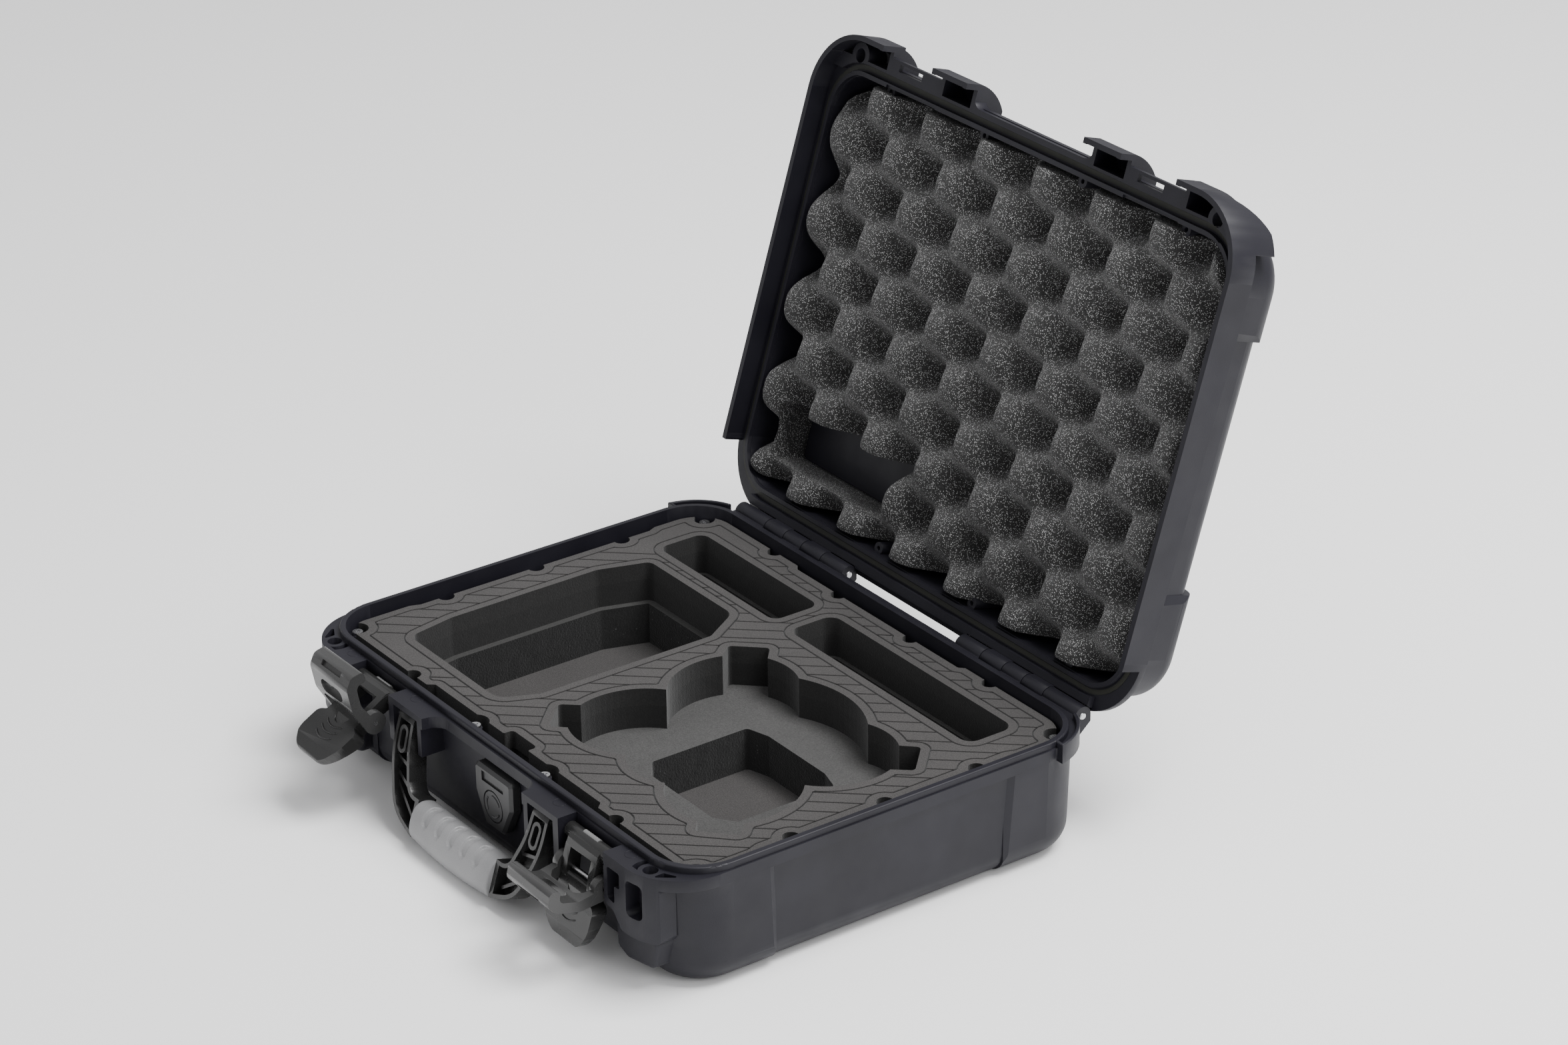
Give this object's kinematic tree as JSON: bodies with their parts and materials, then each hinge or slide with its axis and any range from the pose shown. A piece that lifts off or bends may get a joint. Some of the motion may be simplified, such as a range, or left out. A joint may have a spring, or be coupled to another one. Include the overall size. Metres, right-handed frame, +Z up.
{
  "type": "hard carrying case",
  "caption": "Hard carrying case with hinged lid, twin draw latches, folding handle and foam cut to hold a small drone, its controller and spares.",
  "frame": {"origin": "centre of the underside of the base", "axes": "+Z up, -Y towards the latches and handle, +X to the right seen from the front"},
  "size_m": [0.35, 0.4231, 0.3287],
  "materials": {
    "shell": "fine moulded texture",
    "latch": "satin",
    "valve": "satin",
    "grip": "soft matt",
    "roller": "satin",
    "steel": "plain",
    "seal": "matt",
    "foam_sheet": "dense closed-cell foam",
    "foam_dark": "dense closed-cell foam",
    "foam_black": "dense closed-cell foam",
    "foam_lid": "open-cell egg-crate foam"
  },
  "bodies": {
    "base": {"base_shell": "shell", "hinge_pin_left": "steel", "hinge_pin_right": "steel", "latch_pin_left": "steel", "latch_pin_right": "steel", "handle_pin_left": "steel", "handle_pin_right": "steel", "valve_body": "valve", "valve_disc": "valve", "valve_nut": "valve", "foam_top_sheet": "foam_sheet", "foam_upper_layer": "foam_dark", "foam_lower_layer": "foam_black", "foam_base_sheet": "foam_sheet", "boss_screws": "steel"},
    "lid": {"lid_shell": "shell", "lid_seal": "seal", "lid_foam": "foam_lid"},
    "lever_left": {"latch_lever_left": "latch", "latch_roller_left": "roller"},
    "lever_right": {"latch_lever_right": "latch", "latch_roller_right": "roller"},
    "claw_left": {"latch_claw_left": "latch", "claw_pin_left": "steel"},
    "claw_right": {"latch_claw_right": "latch", "claw_pin_right": "steel"},
    "handle": {"handle_frame": "latch", "handle_grip": "grip"}
  },
  "joints": [
    {"name": "lid_hinge", "type": "hinge", "parent": "base", "child": "lid", "pos_m": [0, 0.1352, 0.06325], "axis": [1, 0, 0], "range_deg": [0, 107.6]},
    {"name": "lever_left_pivot", "type": "hinge", "parent": "base", "child": "lever_left", "pos_m": [-0.0996, -0.1308, 0.058], "axis": [1, 0, 0], "range_deg": [-20, 44]},
    {"name": "lever_right_pivot", "type": "hinge", "parent": "base", "child": "lever_right", "pos_m": [0.0996, -0.1308, 0.058], "axis": [1, 0, 0], "range_deg": [-62, 0]},
    {"name": "claw_left_pivot", "type": "hinge", "parent": "lever_left", "child": "claw_left", "pos_m": [-0.0996, -0.14495, 0.05012], "axis": [1, 0, 0], "range_deg": [-20, 32]},
    {"name": "claw_right_pivot", "type": "hinge", "parent": "lever_right", "child": "claw_right", "pos_m": [0.0996, -0.13604, 0.04268], "axis": [1, 0, 0], "range_deg": [-50, 10]},
    {"name": "handle_pivot", "type": "hinge", "parent": "base", "child": "handle", "pos_m": [0, -0.1322, 0.0555], "axis": [1, 0, 0], "range_deg": [-75, 5]}
  ]
}
